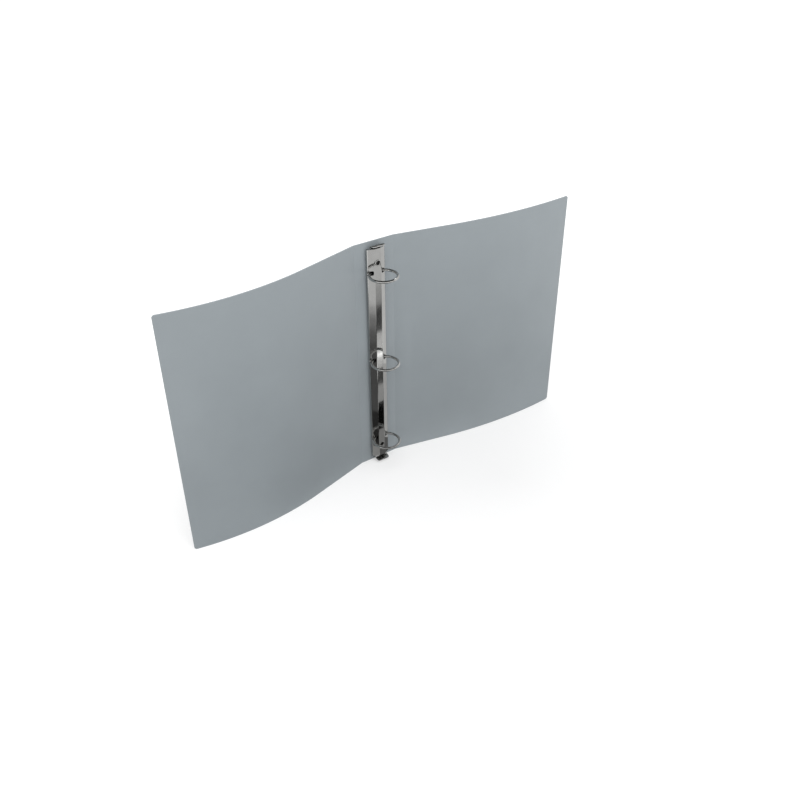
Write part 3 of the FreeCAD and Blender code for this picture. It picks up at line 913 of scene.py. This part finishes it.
class BINDER_OT_ring_housing(bpy.types.Operator):
    """Model the arched steel channel over the toggle plates"""
    bl_idname = "binder.ring_housing"
    bl_label = "Ring housing"

    def execute(self, context):
        metal = context.scene.binder_metal
        piece = self.folded_strip(metal)
        for place in RING_PLACES:
            for side in SIDES.values():
                cut_away(piece, self.leg_slot(metal, side, ring_centre(place).z))
        for place in END_PLACES:
            drill_for_post(piece, place, HOUSING_LOW.y)
        soften_rims(piece, metal.edge_round)
        for place in END_PLACES:
            for side in SIDES.values():
                join_on(piece, self.ear(metal, side, pin_centre(place)))
        dress(piece, "housing_plating")
        smooth(piece, STEEL_SMOOTH)
        finish_piece(piece, "spine", "ring_metal", "ring_housing")
        return {"FINISHED"}

    def folded_strip(self, metal):
        """A strip folded from hem to hem, with rounded bends, thickened inwards."""
        wide, hem, crown = HOUSING_HIGH.x, HOUSING_HIGH.y, HOUSING_LOW.y
        line = [
            Vector((metal.crown_half_width, crown, 0)),
            Vector((wide, hem - metal.shoulder, 0)),
            Vector((wide, hem, 0)),
            Vector((wide - metal.hem, hem, 0)),
        ]
        centre, length = Vector((0, crown, MIDDLE_Z)), HOUSING_HIGH.z - HOUSING_LOW.z
        piece = standing_plane("arched_housing", centre, ACROSS, 2 * line[0].x, length)
        open_edit(piece)
        for side in SIDES.values():
            for start, end in zip(line, line[1:]):
                corner = Vector((start.x * side, start.y))
                pick(piece, "VERT", lambda v: (v.co.xy - corner).length < MERGE)
                extrude(Vector(((end.x - start.x) * side, end.y - start.y, 0)))
        ways = [ACROSS] + [(end - start).normalized() for start, end in zip(line, line[1:])]
        bends = (metal.crown_bend, metal.shoulder_bend, metal.hem_bend)
        for corner, radius, way_in, way_out in zip(line, bends, ways, ways[1:]):
            pick(piece, "EDGE", lambda e: abs(abs(middle(e).x) - corner.x) < MERGE
                 and abs(middle(e).y - corner.y) < MERGE)
            bevel(radius * math.tan(way_in.angle(way_out) / 2), BEND_STEPS)
        close_edit()
        merge_and_face_out(piece)
        thicken(piece, metal.steel, offset=-1)
        return piece

    def leg_slot(self, metal, side, z):
        """A cutter for the slot that a ring's leg swings in, rounded at its inner end."""
        inner, outer = metal.slot_inner, HOUSING_HIGH.x + CUT_PAST
        floor, roof = HOUSING_HIGH.y - metal.shoulder + metal.slot_depth, 2 * HOUSING_LOW.y
        cutter = boxed("leg_slot", (side * (inner + outer) / 2, (floor + roof) / 2, z),
                       (outer - inner, floor - roof, metal.slot_width))
        open_edit(cutter)
        pick(cutter, "EDGE", lambda e: abs(middle(e).x - side * inner) < MERGE and run_along(e, OUT) > MERGE)
        bevel(metal.slot_round, SLOT_STEPS)
        close_edit()
        return cutter

    def ear(self, metal, side, pin):
        """A tab bent down from the slope, rounded at its foot and drilled for a trigger's pin."""
        half = metal.steel / 2
        reach = (PIN_HIGH.x - metal.pin_proud - half) * side
        fall = HOUSING_HIGH.y - metal.shoulder - HOUSING_LOW.y
        slope = fall / (HOUSING_HIGH.x - metal.crown_half_width)
        root = HOUSING_LOW.y + slope * (abs(reach) + half - metal.crown_half_width) + half
        foot = pin.y + metal.ear_radius
        piece = boxed("trigger_ear", (reach, (root + foot) / 2, pin.z),
                      (metal.steel, foot - root, 2 * metal.ear_radius))
        open_edit(piece)
        pick(piece, "EDGE", lambda e: abs(middle(e).y - foot) < MERGE and run_along(e, ACROSS) > MERGE)
        bevel(EAR_ROUND * metal.ear_radius, BEND_STEPS)
        close_edit()
        drill(piece, pin, ACROSS, PIN_RADIUS + metal.close_fit, 4 * abs(reach))
        return piece


class BINDER_OT_trigger_levers(bpy.types.Operator):
    """Model the two triggers at the ends of the housing, with their pins"""
    bl_idname = "binder.trigger_levers"
    bl_label = "Triggers"

    def execute(self, context):
        lever, metal = context.scene.binder_lever, context.scene.binder_metal
        bottom = self.finger_tab(lever)
        hub_width = 2 * (PIN_HIGH.x - metal.pin_proud - metal.steel) - 2 * lever.hub_clearance
        join_on(bottom, rod("lever_hub", Vector(), ACROSS, lever.hub_radius, hub_width))
        join_on(bottom, self.fork(lever))
        drill(bottom, Vector(), ACROSS, PIN_RADIUS + metal.loose_fit, 2 * hub_width)
        bottom.rotation_euler.x = -math.radians(JOINTS["bottom_trigger_tilt"]["range_deg"][1]) / 2
        bottom.location = pin_centre("bottom")
        make_active(bottom)
        named("bottom_trigger_lever")
        dress(bottom, "housing_plating")
        smooth(bottom, STEEL_SMOOTH)
        top = mirrored(bottom, "top_trigger_lever", move=(0, 0, 2 * MIDDLE_Z), scale=(1, 1, -1))
        for place, piece in zip(END_PLACES, (bottom, top)):
            finish_piece(piece, f"{place}_trigger", "ring_metal", f"{place}_trigger")
            pin = self.pin(place)
            finish_piece(pin, "spine", "ring_metal", f"{place}_trigger_pin")
        return {"FINISHED"}

    def finger_tab(self, lever):
        """A sheet about the pin's middle that runs out, widens past the housing and turns up."""
        neck_half, widening = lever.neck_width / 2, -UP * lever.widening
        centre = -UP * lever.run / 2
        piece = standing_plane("bottom_trigger_lever", centre, ACROSS, lever.width, lever.run)
        open_edit(piece)
        divide(widening, UP)
        for side in SIDES.values():
            divide(ACROSS * side * neck_half, ACROSS)
        pick(piece, "FACE", lambda f: abs(f.calc_center_median().x) > neck_half
             and f.calc_center_median().z > widening.z)
        bpy.ops.mesh.delete(type="FACE")
        turn = Vector((0, -lever.bend, -lever.run))
        pick(piece, "EDGE", lambda e: abs(middle(e).z + lever.run) < MERGE)
        spin(turn, -lever.lean, TAB_STEPS, ACROSS)
        along = Vector((0, -math.sin(lever.lean), -math.cos(lever.lean)))
        away = Vector((0, math.cos(lever.lean), -math.sin(lever.lean)))
        rise = turn + away * lever.bend
        pick(piece, "EDGE", lambda e: abs((middle(e) - rise).dot(along)) < MERGE
             and middle(e).y < -lever.bend / 2 and run_along(e, OUT) < MERGE)
        extrude(along * lever.rise)
        tip = rise + along * lever.rise
        pick(piece, "VERT", lambda v: (v.co - tip).dot(along) > -MERGE
             and abs(v.co.x) > lever.width / 2 - MERGE)
        bevel(lever.corner, BEND_STEPS, "VERTICES")
        close_edit()
        merge_and_face_out(piece)
        thicken(piece, lever.thickness)
        soften_rims(piece, lever.edge_round)
        return piece

    def fork(self, lever):
        """The grip on both plates: a crossbar with two arms, and a neck to the hub on its other side."""
        bar, gap_half = lever.fork_reach - lever.fork_bar, lever.fork_gap / 2
        size = (lever.fork_width, 2 * (gap_half + lever.fork_arm), lever.fork_bar)
        piece = boxed("plate_fork", UP * (bar + lever.fork_bar / 2), size)
        open_edit(piece)
        for edge in (gap_half, lever.neck_thickness / 2):
            for side in SIDES.values():
                divide(OUT * side * edge, OUT)
        pick(piece, "FACE", lambda f: f.normal.z > FACING and abs(f.calc_center_median().y) > gap_half)
        extrude(UP * lever.fork_grip)
        pick(piece, "FACE", lambda f: f.normal.z < -FACING and abs(f.calc_center_median().y) < MERGE)
        extrude(-UP * bar)
        close_edit()
        merge_and_face_out(piece)
        return piece

    def pin(self, place):
        """A headless pin with its ends rounded."""
        piece = rod(f"{place}_lever_pin", pin_centre(place), ACROSS, PIN_RADIUS, 2 * PIN_HIGH.x)
        soften_rims(piece, PIN_ROUND)
        dress(piece, "plate_steel")
        smooth(piece, STEEL_SMOOTH)
        return piece


class BINDER_OT_toggle_plates(bpy.types.Operator):
    """Model the two toggle plates inside the housing"""
    bl_idname = "binder.toggle_plates"
    bl_label = "Toggle plates"

    def execute(self, context):
        back = self.blade(context.scene.binder_metal)
        front = mirrored(back, "front_toggle_blade")
        for side, piece in zip(SIDES, (back, front)):
            finish_piece(piece, f"{side}_ring_side", "ring_metal", f"{side}_toggle_plate")
        return {"FINISHED"}

    def blade(self, metal):
        """A strip with a rolled bead to turn on, holes for the ring legs and notches round the posts."""
        low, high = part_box("back_toggle_plate")
        length = high.z - low.z
        reach = PLATE_PIVOT.x - metal.plate_gap
        through = 10 * metal.steel
        centre = Vector((-reach / 2, 0, MIDDLE_Z))
        piece = standing_plane("back_toggle_blade", centre, ACROSS, reach, length)
        thicken(piece, metal.steel)
        join_on(piece, rod("plate_bead", UP * MIDDLE_Z, UP, metal.bead_radius, length))
        for place in RING_PLACES:
            leg = Vector((-metal.leg_distance, 0, ring_centre(place).z))
            drill(piece, leg, OUT, metal.wire / 2 + metal.close_fit, through)
        for place in END_PLACES:
            post = Vector((-PLATE_PIVOT.x, 0, post_height(place)))
            drill(piece, post, OUT, metal.post_notch, through)
        piece.rotation_euler.z = -metal.plate_dip
        piece.location = (PLATE_PIVOT.x, PLATE_PIVOT.y, 0)
        make_active(piece)
        named("back_toggle_blade")
        dress(piece, "plate_steel")
        smooth(piece, STEEL_SMOOTH)
        return piece


class BINDER_OT_mounting_posts(bpy.types.Operator):
    """Model the two rolled posts that hold the housing"""
    bl_idname = "binder.mounting_posts"
    bl_label = "Mounting posts"

    def execute(self, context):
        metal = context.scene.binder_metal
        bottom = self.turned_tube(metal)
        # The inside of the bore is painted dark: bare steel and painted shade
        dress(bottom, "ring_plating", "bare_bore_painted_shade")
        self.paint_shade_in_bare_bore(bottom, metal)
        smooth(bottom, ROUND_SMOOTH)
        rise = post_height("top") - post_height("bottom")
        top = duplicate(bottom, "top_rolled_post", move=(0, 0, rise))
        for place, piece in zip(END_PLACES, (bottom, top)):
            finish_piece(piece, "spine", "ring_metal", f"{place}_mounting_post")
        return {"FINISHED"}

    def turned_tube(self, metal):
        """A tube drawn out ring by ring: the lip on the spine's back, shank, shoulder and the crown's lip."""
        low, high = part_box("bottom_mounting_post")
        crown, crown_under = HOUSING_LOW.y, HOUSING_LOW.y + metal.steel
        shank, shoulder = metal.post_hole - metal.close_fit, metal.post_shoulder
        rings = self.lip(metal, metal.head_radius, SPINE_HIGH.y, high.y)
        rings += [(shank, SPINE_HIGH.y), (shank, SPINE_LOW.y), (shoulder, SPINE_LOW.y)]
        rings += [(shoulder, crown_under), (shank, crown_under), (shank, crown)]
        rings += reversed(self.lip(metal, metal.flare_radius, crown, low.y))
        radius, depth = rings[0]
        centre = UP * post_height("bottom")
        clear_selection()
        bpy.ops.mesh.primitive_circle_add(
            vertices=POST_SIDES, radius=radius, location=centre + OUT * depth, rotation=(math.pi / 2, 0, 0))
        piece = named("bottom_rolled_post")
        open_edit(piece, "EDGE")
        pick_all()
        for next_radius, next_depth in rings[1:]:
            extrude((0, next_depth - depth, 0))
            grow = next_radius / radius
            bpy.ops.transform.resize(value=(grow, 1, grow), center_override=centre)
            radius, depth = next_radius, next_depth
        pick(piece, "EDGE", lambda e: len(e.link_faces) == 1)
        bpy.ops.mesh.bridge_edge_loops()
        close_edit()
        merge_and_face_out(piece)
        return piece

    def lip(self, metal, radius, seat, top):
        """Radius and depth of the rings over a rolled lip, from the bore to where the lip sits down."""
        bore = metal.post_bore
        centre, half = (bore + radius) / 2, (radius - bore) / 2
        rolled = []
        for step in range(BEND_STEPS + 1):
            turn = math.pi * step / BEND_STEPS
            height = LIP_RIM + (1 - LIP_RIM) * math.sin(turn)
            rolled.append((centre - half * math.cos(turn), seat + (top - seat) * height))
        return rolled + [(radius, seat)]

    def paint_shade_in_bare_bore(self, piece, metal):
        """Gives the inside of the tube its own dark finish: bare steel, darkened further by painted shade for
        the deep hole.
        """
        axis = UP * post_height("bottom")

        def in_bore(face):
            spot = face.calc_center_median() - axis
            return abs(face.normal.y) < ASIDE and Vector((spot.x, spot.z)).length < metal.post_bore

        open_edit(piece)
        pick(piece, "FACE", in_bore)
        piece.active_material_index = 1
        bpy.ops.object.material_slot_assign()
        close_edit()


class BINDER_OT_stage(bpy.types.Operator):
    """Set the floor, the light and the camera"""
    bl_idname = "binder.stage"
    bl_label = "Stage"

    def execute(self, context):
        stage = context.scene.binder_stage
        context.scene.view_settings.view_transform = "Standard"
        self.floor(stage)
        self.world(context.scene, stage)
        self.lamp(stage)
        for card in HUNG_CARDS:
            self.card(*card).visible_diffuse = False
        for card in FLOOR_CARDS:
            self.floor_card(*card).visible_diffuse = False
        self.floor_card(*BOUNCE_CARD).visible_glossy = False
        self.camera(context.scene, stage)
        return {"FINISHED"}

    def seen_directly(self, tree):
        """One for rays that show the background: from the camera, in a reflection or through glass."""
        rays = node(tree, "ShaderNodeLightPath").outputs
        seen = maths(tree, "MAXIMUM", rays["Is Camera Ray"], rays["Is Glossy Ray"])
        return maths(tree, "MAXIMUM", seen, rays["Is Transmission Ray"])

    def floor(self, stage):
        clear_selection()
        bpy.ops.mesh.primitive_plane_add(size=stage.floor_size, location=UP * (CAD_BOX[0].z - FLOOR_DROP))
        piece = named("studio_floor")
        material, tree = fresh_material("studio_floor")
        matt = node(tree, "ShaderNodeBsdfDiffuse", {"Color": opaque(stage.floor_colour)})
        place = node(tree, "ShaderNodeTexCoord")
        # Painted shade and light: the floor's glow is least near the lift centre, in front of the spine, and
        # grows outwards, so the floor reads darker round the binder's front and whiter behind the front
        # cover, over its shadow
        away = node(tree, "ShaderNodeVectorMath", {0: place.outputs["Object"], 1: stage.lift_centre},
                    operation="DISTANCE").outputs["Value"]
        spread = ranged(tree, away, stage.near_lift, stage.far_lift, 0, stage.lift_reach)
        lift = maths(tree, "MULTIPLY", self.seen_directly(tree), spread)
        glow = node(tree, "ShaderNodeEmission", {"Color": WHITE, "Strength": lift})
        both = node(tree, "ShaderNodeAddShader", {0: matt.outputs[0], 1: glow.outputs[0]})
        node(tree, "ShaderNodeOutputMaterial", {"Surface": both.outputs[0]})
        piece.data.materials.append(material)

    def world(self, scene, stage):
        world = bpy.data.worlds.new("studio")
        world.use_nodes = True
        tree = world.node_tree
        tree.nodes.clear()
        strength = ranged(tree, self.seen_directly(tree), stage.sky, 1, 0, 1)
        sky = node(tree, "ShaderNodeBackground", {"Color": WHITE, "Strength": strength})
        node(tree, "ShaderNodeOutputWorld", {"Surface": sky.outputs[0]})
        scene.world = world

    def lamp(self, stage):
        clear_selection()
        bpy.ops.object.light_add(type="AREA", location=stage.key_place)
        lamp = bpy.context.object
        lamp.name = "overhead_softbox"
        lamp.data.shape = "RECTANGLE"
        lamp.data.size = stage.key_size
        lamp.data.size_y = stage.key_size
        lamp.data.energy = stage.key
        lamp.rotation_mode = "QUATERNION"
        aim = UP * MIDDLE_Z - lamp.location
        lamp.rotation_quaternion = aim.to_track_quat("-Z", "Y")

    def floor_card(self, name, lit, tone, across, outwards, height):
        low, high = zip(across, outwards, (height, height))
        return self.card(name, lit, tone, low, high)

    def card(self, name, lit, tone, low, high):
        """A level or upright board, out of the camera's sight and clear from behind."""
        low, high = Vector(low), Vector(high)
        size = high - low
        clear_selection()
        bpy.ops.mesh.primitive_plane_add(size=1, location=(low + high) / 2)
        card = bpy.context.object
        if size.x == 0:
            card.rotation_euler = facing(-OUT, UP)
            card.scale = (size.y, size.z, 1)
        elif size.y == 0:
            card.rotation_euler = facing(ACROSS, UP)
            card.scale = (size.x, size.z, 1)
        else:
            card.scale = (size.x, size.y, 1)
        named(name)
        card.data.materials.append(self.card_material(name, lit, tone, low.z > CAD_BOX[1].z))
        card.visible_camera = False
        card.visible_transmission = False
        card.visible_shadow = False
        if lit:
            card.light_linking.receiver_collection = lit_group(lit)
        return card

    def card_material(self, name, lit, tone, overhead):
        """An even glow on one side. Boards for the sheet lie over the metal's, so they are clear as well."""
        material, tree = fresh_material(name)
        front = node(tree, "ShaderNodeEmission", {"Color": WHITE, "Strength": tone})
        clear = node(tree, "ShaderNodeBsdfTransparent")
        if lit == SHEET_ONLY:
            front = node(tree, "ShaderNodeAddShader", {0: front.outputs[0], 1: clear.outputs[0]})
        turned = node(tree, "ShaderNodeNewGeometry").outputs["Backfacing"]
        above, below = (clear, front) if overhead else (front, clear)
        mix = node(tree, "ShaderNodeMixShader", {0: turned, 1: above.outputs[0], 2: below.outputs[0]})
        node(tree, "ShaderNodeOutputMaterial", {"Surface": mix.outputs[0]})
        material.cycles.emission_sampling = "NONE"
        return material

    def camera(self, scene, stage):
        azimuth, elevation = stage.camera_azimuth, stage.camera_elevation
        right = Vector((math.cos(azimuth), math.sin(azimuth), 0))
        level = Vector((math.sin(azimuth), -math.cos(azimuth), 0))
        back = level * math.cos(elevation) + UP * math.sin(elevation)
        turn = Matrix((right, back.cross(right), back)).transposed()
        turn = turn @ Matrix.Rotation(stage.camera_roll, 3, "Z")
        bpy.ops.object.camera_add(location=stage.camera_place, rotation=turn.to_euler())
        camera = bpy.context.object
        camera.name = "photo_camera"
        camera.data.sensor_width = SENSOR_WIDTH
        camera.data.lens = stage.lens
        scene.camera = camera


OPERATORS = (
    BINDER_OT_cover_sheets,
    BINDER_OT_hinge_creases,
    BINDER_OT_spine_sheet,
    BINDER_OT_half_rings,
    BINDER_OT_ring_housing,
    BINDER_OT_trigger_levers,
    BINDER_OT_toggle_plates,
    BINDER_OT_mounting_posts,
    BINDER_OT_stage,
)
SETTINGS = {
    "binder_sheet": SheetSettings,
    "binder_metal": MetalSettings,
    "binder_lever": LeverSettings,
    "binder_stage": StageSettings,
}


class BINDER_PT_panel(bpy.types.Panel):
    """Sizes, colours and pieces of the binder"""
    bl_idname = "BINDER_PT_panel"
    bl_label = "Ring Binder"
    bl_space_type = "VIEW_3D"
    bl_region_type = "UI"
    bl_category = "Ring Binder"

    def draw(self, context):
        for name, group in SETTINGS.items():
            box = self.layout.box()
            for prop in group.__annotations__:
                box.prop(getattr(context.scene, name), prop)
        for operator in OPERATORS:
            self.layout.operator(operator.bl_idname)


def register():
    for group in SETTINGS.values():
        bpy.utils.register_class(group)
    for operator in OPERATORS:
        bpy.utils.register_class(operator)
    bpy.utils.register_class(BINDER_PT_panel)
    for name, group in SETTINGS.items():
        setattr(bpy.types.Scene, name, PointerProperty(type=group))


def unregister():
    for name in SETTINGS:
        delattr(bpy.types.Scene, name)
    bpy.utils.unregister_class(BINDER_PT_panel)
    for operator in reversed(OPERATORS):
        bpy.utils.unregister_class(operator)
    for group in reversed(SETTINGS.values()):
        bpy.utils.unregister_class(group)


def main():
    register()
    bpy.ops.binder.cover_sheets()
    bpy.ops.binder.hinge_creases()
    bpy.ops.binder.spine_sheet()
    bpy.ops.binder.half_rings()
    bpy.ops.binder.ring_housing()
    bpy.ops.binder.trigger_levers()
    bpy.ops.binder.toggle_plates()
    bpy.ops.binder.mounting_posts()
    bpy.ops.binder.stage()


if __name__ == "__main__":
    main()
